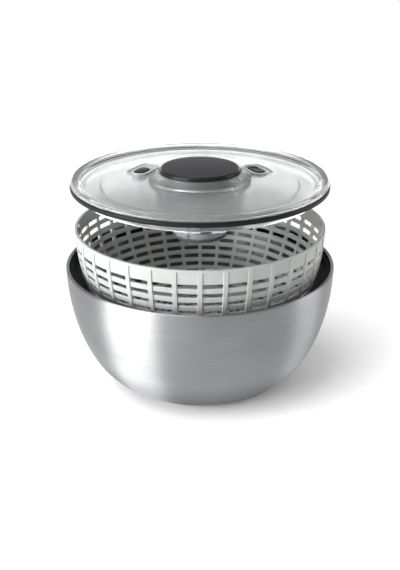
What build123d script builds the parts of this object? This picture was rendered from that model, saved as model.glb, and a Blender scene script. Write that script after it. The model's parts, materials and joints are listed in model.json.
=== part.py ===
from build123d import *
import math
import os

# Salad spinner: a steel bowl, a slotted basket that stands on a pivot in it, and a lid with a pump knob.
# Millimetres, +Z up, origin at the centre of the base ring's underside.
# The basket is held up out of the bowl and the lid above the basket; both come down along Z to close it.
# Basket pieces are drawn with z = 0 at the underside of the basket's floor.
# Lid pieces are drawn with z = 0 at the underside of the lid's gasket.

# Bowl
BOWL_RADIUS = 134.0
BOWL_HEIGHT = 125.0
BOWL_FOOT_RADIUS = 70.0
BOWL_WALL = 1.0
RIM_BEAD_RADIUS = 1.6
RING_THICKNESS = 1.5
RING_OUTER = 68.0
RING_INNER = 58.0

# Seat ring inside the mouth, with the ledge that carries the lid
SEAT_LEDGE_Z = 118.0
SEAT_LEDGE_RADIUS = 124.2
SEAT_WALL_RADIUS = 127.0
SEAT_TOP_Z = 121.2
SEAT_LOW_Z = 111.5
SEAT_SKIN_GAP = 0.15

# Pivot in the bowl
POST_RADIUS = 4.6
POST_TOP = 11.0
POST_FLANGE_RADIUS = 20.0
POST_FLANGE = 1.2
TIP_RADIUS = 5.0
TIP_SPIGOT_RADIUS = 3.2
TIP_LOW = 8.0
TIP_TOP = 13.7

# Basket
BASKET_REST = 60.2
BASKET_HEIGHT = 103.0
BASKET_FLOOR_RADIUS = 66.0
BASKET_WALL_RADIUS = 122.5
BASKET_WALL = 1.8
LIP_RADIUS = 123.5
LIP_HEIGHT = 2.5
RIB_COUNT = 34
RIB_WIDTH = 4.4
RIB_PROUD = 1.0
BAND_HEIGHT = 14.0
ROW_PITCH = 9.2
ROW_OPENING = 4.2
ROW_COUNT = 12
TALLEST_STRAIGHT_BAR = 8.0
FLOOR_THICKNESS = 2.0
FLOOR_ROW_COUNT = 6
FLOOR_ROW_PITCH = 7.0
FLOOR_RIB_COUNT = 17
FLOOR_RIB_WIDTH = 4.0
HUB_RADIUS = 18.0
HUB_HEIGHT = 6.0

# Bearing under the basket
NECK_RADIUS = 8.0
RUNNING_GAP = 0.05
END_GAP = 0.3
BEARING_FLANGE_RADIUS = 14.0
BEARING_LOW = -5.5
BEARING_BORE_RADIUS = 5.3
BEARING_BORE_TOP = 4.0
CLIP_RADIUS = 11.0
CLIP_SEAT_RADIUS = 6.5
CLIP_THICKNESS = 2.0

# Lid
LID_REST = 203.0
GASKET_RADIUS = 125.6
GASKET_INNER = 119.7
GASKET_HEIGHT = 4.6
FLANGE_RADIUS = 124.6
FLANGE_TOP = 9.4
PLATE = 2.2
PLATE_EDGE_RADIUS = 108.0
PLATE_EDGE_Z = 5.2
GUTTER_RADIUS = 114.0
GUTTER_RISE = 0.4
PLATE_MIDDLE_Z = 6.3
COLLAR_RADIUS = 41.6
COLLAR_BORE = 39.6
COLLAR_TOP = 13.6
COLLAR_STEP = 1.6
COLLAR_LOW = 3.3
COLLAR_FOOT_TOP = 7.4
COLLAR_FOOT_SLOPE = 1.0
FLANGE_INSET = 0.2
FLANGE_SHOULDER = 0.8
FLANGE_BEVEL_WIDTH = 2.0
FLANGE_BEVEL_HEIGHT = 1.4
RIDGE_DEPTH = 0.5
RAIL_WIDTH = 2.0
RAIL_LOW = 0.6
SEAM = 0.1

# Mechanism housing under the cover
DRUM_RADIUS = 40.0
DRUM_WALL = 2.0
DECK_TOP = 3.2
DECK = 2.0
DECK_RADIUS = 49.0
DRUM_LOW = -34.0
SPIGOT_RADIUS = 9.95
SPIGOT_LOW = -43.6
SCREW_CIRCLE = 46.2
SCREW_RADIUS = 1.25
SCREW_HEAD_RADIUS = 2.4
SCREW_HEAD = 1.6
SCREW_TOP = 6.2
CROSS_LENGTH = 1.3
CROSS_WIDTH = 0.5
CROSS_DEPTH = 0.5
SPLIT_RING = 1.2
SPLIT_RING_GROOVE = 0.7
SPLIT_RING_INSET = 0.6
SPLIT_RING_GAP = 4.0
TABLE_PLAY = 0.4

# Turntable and one-way clutch
CUP_RADIUS = 42.8
CUP_WALL = 1.8
CUP_FLOOR_TOP = -34.5
CUP_FLOOR = 2.0
DISC_TOP = -7.0
DISC = 1.5
DISC_RADIUS = 94.0
DISC_RISE = 3.0
SKIRT_RADIUS = 116.0
SKIRT_TOP = 0.8
SKIRT_LOW = -7.5
SKIRT_WALL = 1.6
DOG_COUNT = 4
DOG_ANGLE = 4.0
DOG_REACH = 119.4
DOG_OVERLAP = 1.0
DOG_HEIGHT = 4.0
BOSS_RADIUS = 13.0
BOSS_LOW = -41.5
CLUTCH_WALL_RADIUS = 27.0
CLUTCH_RADIUS = 22.0
CLUTCH_LOW = -49.6
TOOTH_COUNT = 24
TOOTH_ROOT_RADIUS = 18.4
TOOTH_TIP_RADIUS = 16.6
RATCHET_GAP = 1.0
PAWL_COUNT = 3
PAWL_LEAN = 35.0
PAWL_ROOT_DEPTH = 1.5
PAWL_ROOT_ANGLE = 0.25
PAWL_TIP = 1.4
PAWL_REACH = 16.1
PAWL_DISC_RADIUS = 12.0
PAWL_TOP = -44.4
PAWL_LOW = -48.2
CLUTCH_COVER = 1.9
CLUTCH_SCREW_CIRCLE = 24.6
CLUTCH_SCREW_RADIUS = 1.0
CLUTCH_SCREW_HEAD_RADIUS = 2.0
CLUTCH_SCREW_HEAD = 1.2
CLUTCH_SCREW_EDGE = 0.5
CLUTCH_SCREW_LENGTH = 5.5
CLUTCH_CROSS_DEPTH = 0.4
CLUTCH_HOLE_DEPTH = 6.0

# Pump knob and drive
KNOB_RADIUS = 38.7
KNOB_TOP = 17.4
KNOB_LOW = 8.0
KNOB_WALL = 2.2
KNOB_EDGE = 2.4
GRIP_RADIUS = 35.2
GRIP_THICKNESS = 1.2
GRIP_CROWN = 0.8
PLUNGER_RADIUS = 16.0
PLUNGER_WALL = 2.2
PLUNGER_LOW = -27.0
PLUNGER_FLANGE_RADIUS = 27.0
NUT_HEIGHT = 6.0
LEAD = 30.0
BAR_WIDTH = 9.0
BAR_THICKNESS = 4.0
BAR_LOW = -29.0
BAR_TOP = 11.0
NUT_GAP = 0.3
JOURNAL_RADIUS = 6.0
JOURNAL_LOW = -44.2
SHAFT_COLLAR = 2.5
SHAFT_END_RADIUS = 4.0
SPRING_RADIUS = 23.0
SPRING_WIRE = 1.0
SPRING_TURNS = 6
SPRING_END_GAP = 0.05

# Oval controls on the cover
CONTROL_CIRCLE = 61.0
BRAKE_ANGLE = 154.0
LOCK_ANGLE = 26.0
WELL_GAP = 0.3
WELL_WALL = 1.2
BEZEL_LIP = 1.3
BEZEL_LIP_THICKNESS = 0.9
BEZEL_TOP = 7.3
BRAKE_LENGTH = 32.4
BRAKE_WIDTH = 12.4
BRAKE_TOP = 8.3
BRAKE_CAP_LOW = 4.9
BRAKE_FLOOR_TOP = -0.2
BRAKE_EDGE = 1.0
BRAKE_SPRING_RADIUS = 4.2
BRAKE_SPRING_WIRE = 0.6
BRAKE_SPRING_TURNS = 2.5
STEM_RADIUS = 2.5
SHOE_TOP = -1.8
SHOE_THICKNESS = 1.8
SHOE_LENGTH = 15.0
SHOE_WIDTH = 9.0
LOCK_LENGTH = 25.0
LOCK_WIDTH = 11.8
LOCK_TOP = 8.1
LOCK_TRAVEL = 5.0
LOCK_FLOOR_TOP = 3.2
LOCK_EDGE = 0.8
GROOVE_PITCH = 3.0
GROOVE_WIDTH = 1.2
GROOVE_LENGTH = 7.08
GROOVE_DEPTH = 0.4
LOCK_NECK_LENGTH = 6.0
LOCK_NECK_WIDTH = 5.0
LATCH_TOP = 0.9
LATCH_THICKNESS = 1.6
LATCH_LENGTH = 14.0
LATCH_WIDTH = 9.0
LATCH_TONGUE_END = 40.6

# How far a cutting shape runs past the face that it opens
PAST = 1.0


def turned(*outline):
    """Solid of revolution about Z of a closed outline of (radius, height) points."""
    return revolve(Plane.XZ * make_face(Polyline(*outline, close=True)), Axis.Z)


def tube(inner, outer, low, high):
    """Plain tube, or a disc where the inner radius is 0."""
    return turned((inner, low), (outer, low), (outer, high), (inner, high))


def band(low, high):
    """Drawing area of a turned section between two heights, to the right of the axis."""
    reach = 2 * BOWL_RADIUS
    return Pos(reach / 2, (low + high) / 2) * Rectangle(reach, high - low)


def around(shape, count, start=0.0):
    """Copies of a shape at equal angles about Z."""
    return [Rot(0, 0, start + 360 * step / count) * shape for step in range(count)]


def oval(length, width, low, high):
    """Upright block with half-round ends, long side along X."""
    return extrude(Pos(0, 0, low) * SlotOverall(length, width), amount=high - low)


def on_cover(angle, shape):
    """A control's shape moved to its place on the cover, long side along the circle."""
    return Rot(0, 0, angle) * Pos(CONTROL_CIRCLE, 0, 0) * Rot(0, 0, 90) * shape


def coil(radius, wire, turns, low, high):
    """Helical spring between two heights."""
    rise = high - low - 2 * wire
    path = Helix(pitch=rise / turns, height=rise, radius=radius)
    section = Plane(origin=path @ 0, z_dir=path % 0) * Circle(wire)
    return Pos(0, 0, low + wire) * sweep(section, path=path, is_frenet=True)


# Bowl body

def bowl():
    """Half-ellipse steel shell on a flat foot, with its rim rolled inward."""
    reach = BOWL_RADIUS - BOWL_FOOT_RADIUS
    drop = BOWL_HEIGHT - RING_THICKNESS
    centre = Pos(BOWL_FOOT_RADIUS, BOWL_HEIGHT)
    wall = centre * Ellipse(reach, drop) - centre * Ellipse(reach - BOWL_WALL, drop - BOWL_WALL)
    wall = wall & band(0, BOWL_HEIGHT - RIM_BEAD_RADIUS)
    wall = wall - Pos(0, BOWL_HEIGHT / 2) * Rectangle(2 * BOWL_FOOT_RADIUS, BOWL_HEIGHT)
    foot = Pos(BOWL_FOOT_RADIUS / 2, RING_THICKNESS + BOWL_WALL / 2) * Rectangle(BOWL_FOOT_RADIUS, BOWL_WALL)
    bead = Pos(BOWL_RADIUS - RIM_BEAD_RADIUS, BOWL_HEIGHT - RIM_BEAD_RADIUS) * Circle(RIM_BEAD_RADIUS)
    return revolve(Plane.XZ * (wall + foot + bead), Axis.Z)


def bowl_inside(height):
    """Inner radius of the bowl at a height."""
    drop = BOWL_HEIGHT - RING_THICKNESS - BOWL_WALL
    reach = BOWL_RADIUS - BOWL_FOOT_RADIUS - BOWL_WALL
    return BOWL_FOOT_RADIUS + reach * math.sqrt(1 - ((BOWL_HEIGHT - height) / drop) ** 2)


def base_ring():
    """Non-slip ring under the foot."""
    return tube(RING_INNER, RING_OUTER, 0, RING_THICKNESS)


def rim_seat():
    """Ring that lines the mouth and carries the lid on an inner ledge."""
    skin_low = bowl_inside(SEAT_LOW_Z) - SEAT_SKIN_GAP
    skin_top = bowl_inside(SEAT_TOP_Z) - SEAT_SKIN_GAP
    ledge_edge = 0.8
    return turned(
        (skin_low, SEAT_LOW_Z),
        (skin_top, SEAT_TOP_Z),
        (SEAT_WALL_RADIUS + ledge_edge, SEAT_TOP_Z),
        (SEAT_WALL_RADIUS, SEAT_TOP_Z - ledge_edge),
        (SEAT_WALL_RADIUS, SEAT_LEDGE_Z),
        (SEAT_LEDGE_RADIUS + ledge_edge, SEAT_LEDGE_Z),
        (SEAT_LEDGE_RADIUS, SEAT_LEDGE_Z - ledge_edge),
        (SEAT_LEDGE_RADIUS, SEAT_LEDGE_Z - 3 * ledge_edge),
        (SEAT_WALL_RADIUS, SEAT_LEDGE_Z - 5 * ledge_edge),
        (skin_low - ledge_edge, SEAT_LOW_Z),
    )


def pivot_post():
    """Foot and post fixed to the middle of the bowl."""
    floor = RING_THICKNESS + BOWL_WALL
    return turned(
        (0, floor),
        (POST_FLANGE_RADIUS, floor),
        (POST_FLANGE_RADIUS, floor + POST_FLANGE / 2),
        (POST_FLANGE_RADIUS - POST_FLANGE, floor + POST_FLANGE),
        (POST_RADIUS, floor + POST_FLANGE),
        (POST_RADIUS, TIP_LOW),
        (TIP_SPIGOT_RADIUS, TIP_LOW),
        (TIP_SPIGOT_RADIUS, POST_TOP),
        (0, POST_TOP),
    )


def pivot_tip():
    """Slippery cap over the end of the post."""
    cap = tube(0, TIP_RADIUS, TIP_LOW, TIP_TOP)
    cap = fillet(cap.edges().sort_by(Axis.Z)[-1], TIP_RADIUS / 2)
    return cap - tube(0, TIP_SPIGOT_RADIUS, TIP_LOW, POST_TOP)


# Basket

def wall_point(turn, outward=0.0):
    """Point (radius, height) of the wall's outer curve, turn 0 at the rim and a quarter turn at the floor."""
    reach = BASKET_WALL_RADIUS - BASKET_FLOOR_RADIUS + outward
    drop = BASKET_HEIGHT + outward
    return BASKET_FLOOR_RADIUS + reach * math.cos(turn), BASKET_HEIGHT - drop * math.sin(turn)


def turn_after(turn, distance):
    """Turn reached by going a distance down the wall's curve."""
    reach = BASKET_WALL_RADIUS - BASKET_FLOOR_RADIUS
    steps = 10
    for _ in range(steps):
        turn += distance / steps / math.hypot(reach * math.sin(turn), BASKET_HEIGHT * math.cos(turn))
    return turn


def bar_edges():
    """Turns of the upper and lower edge of the band, each bar and the foot of the wall, from the top down."""
    lower = turn_after(0, BAND_HEIGHT)
    edges = [(0, lower)]
    for _ in range(ROW_COUNT - 1):
        upper = turn_after(lower, ROW_OPENING)
        lower = turn_after(upper, ROW_PITCH - ROW_OPENING)
        edges.append((upper, lower))
    edges.append((turn_after(lower, ROW_OPENING), math.pi / 2))
    return edges


def wall_section(turns, inward, outward):
    """Closed outline along the wall through the given turns, between two offsets from its outer curve."""
    outside = [wall_point(turn, outward) for turn in turns]
    inside = [wall_point(turn, -inward) for turn in reversed(turns)]
    return outside + inside


def basket_bars():
    """Band, bars and floor rings, as they are before the ribs join them."""
    rings = []
    for upper, lower in bar_edges():
        tall = BASKET_HEIGHT * (lower - upper) > TALLEST_STRAIGHT_BAR
        turns = [upper, (upper + lower) / 2, lower] if tall else [upper, lower]
        rings.append(turned(*wall_section(turns, BASKET_WALL, 0)))
    lip_low = BASKET_HEIGHT - LIP_HEIGHT
    rings.append(tube(BASKET_WALL_RADIUS - BASKET_WALL, LIP_RADIUS, lip_low, BASKET_HEIGHT))
    inner = HUB_RADIUS
    for _ in range(FLOOR_ROW_COUNT):
        rings.append(tube(inner + ROW_OPENING, inner + FLOOR_ROW_PITCH, 0, FLOOR_THICKNESS))
        inner += FLOOR_ROW_PITCH
    rings.append(tube(inner + ROW_OPENING, BASKET_FLOOR_RADIUS, 0, FLOOR_THICKNESS))
    return rings


def basket_ribs():
    """Upright ribs outside the wall and straight ribs across the floor."""
    turns = [lower for _, lower in bar_edges()]
    turns.insert(0, turn_after(0, LIP_HEIGHT / 2))
    width = math.degrees(RIB_WIDTH / BASKET_WALL_RADIUS)
    outline = Polyline(*wall_section(turns, BASKET_WALL / 2, RIB_PROUD), close=True)
    wall_rib = revolve(Plane.XZ * make_face(outline), Axis.Z, width)
    length = BASKET_FLOOR_RADIUS - HUB_RADIUS / 2
    floor_rib = Pos(HUB_RADIUS / 2 + length / 2, 0, FLOOR_THICKNESS / 2)
    floor_rib = floor_rib * Box(length, FLOOR_RIB_WIDTH, FLOOR_THICKNESS)
    first = (360 / RIB_COUNT - width) / 2
    return around(wall_rib, RIB_COUNT, first) + around(floor_rib, FLOOR_RIB_COUNT)


def basket_dogs():
    """Inner lugs under the rim that the turntable's dogs push."""
    inner = DOG_REACH - DOG_OVERLAP
    outer = BASKET_WALL_RADIUS - BASKET_WALL / 2
    section = Pos((inner + outer) / 2, BASKET_HEIGHT - DOG_HEIGHT / 2) * Rectangle(outer - inner, DOG_HEIGHT)
    lug = revolve(Plane.XZ * section, Axis.Z, DOG_ANGLE)
    return around(lug, DOG_COUNT, DOG_ANGLE / 2)


def basket():
    """Slotted basket in one piece, with a bored hub in the middle of its floor."""
    hub = tube(0, HUB_RADIUS, 0, HUB_HEIGHT)
    body = hub + (basket_bars() + basket_ribs() + basket_dogs())
    body -= tube(0, NECK_RADIUS + RUNNING_GAP, -HUB_HEIGHT, 2 * HUB_HEIGHT)
    return body


def basket_bearing():
    """Bearing that stays still on the post while the basket turns round its neck."""
    shoulder = HUB_HEIGHT + END_GAP
    body = turned(
        (0, BEARING_LOW),
        (BEARING_FLANGE_RADIUS, BEARING_LOW),
        (BEARING_FLANGE_RADIUS, -END_GAP),
        (NECK_RADIUS, -END_GAP),
        (NECK_RADIUS, shoulder),
        (CLIP_SEAT_RADIUS, shoulder),
        (CLIP_SEAT_RADIUS, shoulder + CLIP_THICKNESS),
        (0, shoulder + CLIP_THICKNESS),
    )
    return body - tube(0, BEARING_BORE_RADIUS, BEARING_LOW, BEARING_BORE_TOP)


def bearing_clip():
    """Ring on the end of the bearing that keeps the basket on it."""
    shoulder = HUB_HEIGHT + END_GAP
    return tube(CLIP_SEAT_RADIUS, CLIP_RADIUS, shoulder, shoulder + CLIP_THICKNESS)


# Lid body

def collar_outline():
    """Outline of the cover's stepped collar, from its bore down to the plate."""
    step = COLLAR_STEP
    neck = COLLAR_RADIUS + 2 * step
    foot = neck + 2 * step
    return [
        (COLLAR_BORE, COLLAR_LOW),
        (COLLAR_BORE, COLLAR_TOP),
        (COLLAR_RADIUS, COLLAR_TOP),
        (COLLAR_RADIUS, COLLAR_TOP - step),
        (COLLAR_RADIUS + step / 2, COLLAR_TOP - step),
        (COLLAR_RADIUS + step / 2, COLLAR_TOP - 2 * step),
        (COLLAR_RADIUS + step, COLLAR_TOP - 2 * step),
        (COLLAR_RADIUS + step, COLLAR_TOP - 3 * step),
        (neck, COLLAR_TOP - 3 * step),
        (neck, COLLAR_FOOT_TOP),
        (foot, COLLAR_FOOT_TOP),
        (foot + COLLAR_FOOT_SLOPE, PLATE_MIDDLE_Z),
    ]


def flange_outline():
    """Outline of the cover's flange with its ridge, and of the rail that holds the gasket."""
    side = FLANGE_RADIUS - FLANGE_INSET
    ridge_z = (GASKET_HEIGHT + FLANGE_TOP) / 2
    return [
        (GASKET_INNER - RAIL_WIDTH - FLANGE_INSET, FLANGE_TOP - FLANGE_SHOULDER),
        (GASKET_INNER - FLANGE_INSET, FLANGE_TOP),
        (side - FLANGE_BEVEL_WIDTH, FLANGE_TOP),
        (side, FLANGE_TOP - FLANGE_BEVEL_HEIGHT),
        (side, ridge_z),
        (side - RIDGE_DEPTH, ridge_z - SEAM),
        (side - RIDGE_DEPTH, ridge_z - RIDGE_DEPTH),
        (FLANGE_RADIUS, ridge_z - RIDGE_DEPTH - SEAM),
        (FLANGE_RADIUS, GASKET_HEIGHT + SEAM),
        (GASKET_INNER, GASKET_HEIGHT + SEAM),
        (GASKET_INNER - SEAM, RAIL_LOW),
        (GASKET_INNER - RAIL_WIDTH, RAIL_LOW),
        (GASKET_INNER - RAIL_WIDTH, PLATE_EDGE_Z - RAIL_WIDTH / 2),
    ]


def lid_cover():
    """Clear cover: ridged flange, dished plate and stepped collar."""
    neck = COLLAR_RADIUS + 2 * COLLAR_STEP
    under_foot = neck + 2 * COLLAR_STEP + 2 * COLLAR_FOOT_SLOPE
    under_gutter = GUTTER_RADIUS - PLATE
    cover = turned(
        *collar_outline(),
        (PLATE_EDGE_RADIUS, PLATE_EDGE_Z),
        (GUTTER_RADIUS, PLATE_EDGE_Z + GUTTER_RISE),
        *flange_outline(),
        (under_gutter, PLATE_EDGE_Z + GUTTER_RISE / 2 - PLATE),
        (PLATE_EDGE_RADIUS, PLATE_EDGE_Z - PLATE),
        (under_foot, PLATE_MIDDLE_Z - PLATE),
        (neck, COLLAR_LOW),
    )
    margin = WELL_GAP + WELL_WALL + SEAM
    cover -= on_cover(BRAKE_ANGLE, well_block(BRAKE_LENGTH, BRAKE_WIDTH, margin))
    cover -= on_cover(LOCK_ANGLE, well_block(LOCK_LENGTH + LOCK_TRAVEL, LOCK_WIDTH, margin))
    holes = Pos(SCREW_CIRCLE, 0, 0) * tube(0, SCREW_RADIUS + RUNNING_GAP, 0, SCREW_TOP + END_GAP)
    return cover - around(holes, 4, 45)


def well_block(length, width, margin):
    """Through block for a control's well, larger than the control by a margin all round."""
    return oval(length + 2 * margin, width + 2 * margin, DISC_TOP, 2 * COLLAR_TOP)


def lid_gasket():
    """Soft seal round the cover's edge."""
    corner = 1.0
    return turned(
        (GASKET_INNER, corner / 2),
        (GASKET_RADIUS - corner, 0),
        (GASKET_RADIUS - 0.3 * corner, 0.3 * corner),
        (GASKET_RADIUS, corner),
        (GASKET_RADIUS, GASKET_HEIGHT - corner),
        (GASKET_RADIUS - 0.3 * corner, GASKET_HEIGHT - 0.3 * corner),
        (GASKET_RADIUS - corner, GASKET_HEIGHT),
        (GASKET_INNER, GASKET_HEIGHT),
    )


def mechanism_housing():
    """Drum under the cover: guide deck on top, spigot for the turntable below."""
    guide = PLUNGER_RADIUS + RUNNING_GAP
    bore = JOURNAL_RADIUS + RUNNING_GAP
    groove = SPIGOT_RADIUS - SPLIT_RING_GROOVE
    clip_top = BOSS_LOW - TABLE_PLAY
    clip_low = clip_top - SPLIT_RING
    drum = turned(
        (guide, DECK_TOP),
        (guide, DECK_TOP - 3 * DECK),
        (guide + DRUM_WALL, DECK_TOP - 3 * DECK),
        (guide + DRUM_WALL, DECK_TOP - DECK),
        (DRUM_RADIUS - DRUM_WALL, DECK_TOP - DECK),
        (DRUM_RADIUS - DRUM_WALL, DRUM_LOW + DRUM_WALL),
        (bore, DRUM_LOW + DRUM_WALL),
        (bore, SPIGOT_LOW),
        (SPIGOT_RADIUS, SPIGOT_LOW),
        (SPIGOT_RADIUS, clip_low),
        (groove, clip_low),
        (groove, clip_top),
        (SPIGOT_RADIUS, clip_top),
        (SPIGOT_RADIUS, DRUM_LOW),
        (DRUM_RADIUS, DRUM_LOW),
        (DRUM_RADIUS, DECK_TOP - DECK),
        (DECK_RADIUS, DECK_TOP - DECK),
        (DECK_RADIUS, DECK_TOP),
    )
    holes = Pos(SCREW_CIRCLE, 0, 0) * tube(0, SCREW_RADIUS + RUNNING_GAP, 0, DECK_TOP)
    return drum - around(holes, 4, 45)


def cross_slot(head_radius, face, depth):
    """Cross cut into a screw's head from its face."""
    bar = Pos(0, 0, face) * Box(head_radius * CROSS_LENGTH, CROSS_WIDTH, 2 * depth)
    return bar + Rot(0, 0, 90) * bar


def housing_screws():
    """Four pan-head screws up through the housing's rim into the cover."""
    seat = DECK_TOP - DECK
    screw = tube(0, SCREW_RADIUS, seat, SCREW_TOP)
    head = tube(0, SCREW_HEAD_RADIUS, seat - SCREW_HEAD, seat)
    head = fillet(head.edges().sort_by(Axis.Z)[0], SCREW_HEAD / 3)
    slot = cross_slot(SCREW_HEAD_RADIUS, seat - SCREW_HEAD, CROSS_DEPTH)
    return Compound(children=around(Pos(SCREW_CIRCLE, 0, 0) * (screw + head - slot), 4, 45))


def bezel(length, width, floor_top):
    """Open well with a lip that rests on the cover."""
    inside = 2 * WELL_GAP
    outside = inside + 2 * WELL_WALL
    low = floor_top - WELL_WALL
    lip = outside + 2 * BEZEL_LIP
    body = oval(length + outside, width + outside, low, BEZEL_TOP)
    body += oval(length + lip, width + lip, BEZEL_TOP - BEZEL_LIP_THICKNESS, BEZEL_TOP)
    return body - oval(length + inside, width + inside, floor_top, 2 * BEZEL_TOP)


def brake_bezel():
    """Well of the brake button, bored for its stem."""
    bore = tube(0, STEM_RADIUS + RUNNING_GAP, 2 * SHOE_TOP, BRAKE_TOP)
    return on_cover(BRAKE_ANGLE, bezel(BRAKE_LENGTH, BRAKE_WIDTH, BRAKE_FLOOR_TOP) - bore)


def lock_bezel():
    """Well of the knob lock, slotted for the slider's neck."""
    gap = 2 * WELL_GAP
    slot = oval(LOCK_NECK_LENGTH + LOCK_TRAVEL + 2 * gap, LOCK_NECK_WIDTH + gap, 0, LOCK_TOP)
    return on_cover(LOCK_ANGLE, bezel(LOCK_LENGTH + LOCK_TRAVEL, LOCK_WIDTH, LOCK_FLOOR_TOP) - slot)


def turntable_clip():
    """Split ring in the spigot's groove, which holds the turntable up."""
    top = BOSS_LOW - TABLE_PLAY
    ring = tube(SPIGOT_RADIUS - SPLIT_RING_GROOVE, BOSS_RADIUS - SPLIT_RING_INSET, top - SPLIT_RING, top)
    return ring - Pos(BOSS_RADIUS, 0, top) * Box(BOSS_RADIUS, SPLIT_RING_GAP, SPLIT_RING_GAP)


# Turntable and clutch

def turntable():
    """Disc and skirt that turn the basket, hung on the housing's spigot."""
    bore = SPIGOT_RADIUS + RUNNING_GAP
    floor_low = CUP_FLOOR_TOP - CUP_FLOOR
    body = turned(
        (bore, BOSS_LOW),
        (BOSS_RADIUS, BOSS_LOW),
        (BOSS_RADIUS, floor_low),
        (CLUTCH_RADIUS, floor_low),
        (CLUTCH_RADIUS, CLUTCH_LOW),
        (CLUTCH_WALL_RADIUS, CLUTCH_LOW),
        (CLUTCH_WALL_RADIUS, floor_low),
        (CUP_RADIUS, floor_low),
        (CUP_RADIUS, DISC_TOP - DISC),
        (DISC_RADIUS, DISC_TOP - DISC),
        (DISC_RADIUS + DISC_RISE, SKIRT_TOP - SKIRT_WALL),
        (SKIRT_RADIUS - 3 * SKIRT_WALL, SKIRT_TOP - SKIRT_WALL),
        (SKIRT_RADIUS - 2 * SKIRT_WALL, SKIRT_LOW),
        (SKIRT_RADIUS - SKIRT_WALL, SKIRT_LOW),
        (SKIRT_RADIUS, SKIRT_TOP - SKIRT_WALL),
        (SKIRT_RADIUS - SKIRT_WALL, SKIRT_TOP),
        (DISC_RADIUS + DISC_RISE - DISC, SKIRT_TOP),
        (DISC_RADIUS - DISC, DISC_TOP),
        (CUP_RADIUS - CUP_WALL, DISC_TOP),
        (CUP_RADIUS - CUP_WALL, CUP_FLOOR_TOP),
        (bore, CUP_FLOOR_TOP),
    )
    section = Rectangle(DOG_REACH - SKIRT_RADIUS + 2 * SKIRT_WALL, -SKIRT_LOW / 2)
    section = Pos((DOG_REACH + SKIRT_RADIUS) / 2 - SKIRT_WALL, SKIRT_LOW * 0.75) * section
    dog = revolve(Plane.XZ * section, Axis.Z, DOG_ANGLE)
    body += around(dog, DOG_COUNT, -DOG_ANGLE)
    hole = tube(0, CLUTCH_SCREW_RADIUS + RUNNING_GAP, CLUTCH_LOW, CLUTCH_LOW + CLUTCH_HOLE_DEPTH)
    return body - around(Pos(CLUTCH_SCREW_CIRCLE, 0, 0) * hole, 3)


def ratchet_ring():
    """Ring with saw teeth inside, pressed into the turntable."""
    teeth = []
    for tooth in range(TOOTH_COUNT):
        start = math.radians(360 * tooth / TOOTH_COUNT)
        teeth.append((TOOTH_TIP_RADIUS * math.cos(start), TOOTH_TIP_RADIUS * math.sin(start)))
        teeth.append((TOOTH_ROOT_RADIUS * math.cos(start), TOOTH_ROOT_RADIUS * math.sin(start)))
    face = Circle(CLUTCH_RADIUS) - make_face(Polyline(*teeth, close=True))
    return extrude(Pos(0, 0, CLUTCH_LOW) * face, amount=BOSS_LOW - RATCHET_GAP - CLUTCH_LOW)


def ratchet_cover():
    """Plate that closes the clutch from below."""
    plate = tube(0, CLUTCH_WALL_RADIUS, CLUTCH_LOW - CLUTCH_COVER, CLUTCH_LOW)
    plate = fillet(plate.edges().sort_by(Axis.Z)[0], CLUTCH_COVER / 2)
    hole = Pos(CLUTCH_SCREW_CIRCLE, 0, 0)
    hole = hole * tube(0, CLUTCH_SCREW_RADIUS + RUNNING_GAP, CLUTCH_LOW - 2 * CLUTCH_COVER, CLUTCH_LOW)
    return plate - around(hole, 3)


def ratchet_screws():
    """Three small screws that hold the clutch's cover."""
    seat = CLUTCH_LOW - CLUTCH_COVER
    screw = tube(0, CLUTCH_SCREW_RADIUS, seat, CLUTCH_LOW + CLUTCH_SCREW_LENGTH)
    head = tube(0, CLUTCH_SCREW_HEAD_RADIUS, seat - CLUTCH_SCREW_HEAD, seat)
    head = fillet(head.edges().sort_by(Axis.Z)[0], CLUTCH_SCREW_EDGE)
    slot = cross_slot(CLUTCH_SCREW_HEAD_RADIUS, seat - CLUTCH_SCREW_HEAD, CLUTCH_CROSS_DEPTH)
    return Compound(children=around(Pos(CLUTCH_SCREW_CIRCLE, 0, 0) * (screw + head - slot), 3))


def pawl_carrier():
    """Disc on the shaft's end with springy fingers that push the ratchet one way only."""
    disc = Circle(PAWL_DISC_RADIUS)
    root = PAWL_DISC_RADIUS - PAWL_ROOT_DEPTH
    tip = PAWL_REACH - PAWL_TIP
    for pawl in range(PAWL_COUNT):
        turn = math.radians(360 * pawl / PAWL_COUNT)
        ahead = turn + math.radians(PAWL_LEAN)
        behind = turn + PAWL_ROOT_ANGLE
        finger = Polyline(
            (root * math.cos(turn), root * math.sin(turn)),
            (PAWL_REACH * math.cos(ahead), PAWL_REACH * math.sin(ahead)),
            (tip * math.cos(ahead), tip * math.sin(ahead)),
            (root * math.cos(behind), root * math.sin(behind)),
            close=True,
        )
        disc += make_face(finger)
    disc -= Circle(SHAFT_END_RADIUS)
    return extrude(Pos(0, 0, PAWL_LOW) * disc, amount=PAWL_TOP - PAWL_LOW)


# Pump knob and drive

def knob_cap():
    """Round knob, open below, with a shallow seat for its grip."""
    skin = KNOB_TOP - KNOB_WALL - GRIP_THICKNESS
    inner = KNOB_RADIUS - KNOB_WALL
    cap = tube(0, KNOB_RADIUS, KNOB_LOW, KNOB_TOP)
    cap = fillet(cap.edges().sort_by(Axis.Z)[-1], KNOB_EDGE)
    cap -= tube(0, inner, KNOB_LOW - PAST, skin)
    return cap - tube(0, GRIP_RADIUS, KNOB_TOP - GRIP_THICKNESS, KNOB_TOP + PAST)


def knob_grip():
    """Soft crowned pad let into the top of the knob."""
    low = KNOB_TOP - GRIP_THICKNESS
    steps = 8
    crown = []
    for step in range(steps + 1):
        out = 1 - step / steps
        crown.append((GRIP_RADIUS * out, KNOB_TOP + GRIP_CROWN * (1 - out ** 2)))
    return turned((0, low), (GRIP_RADIUS, low), *crown)


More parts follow.
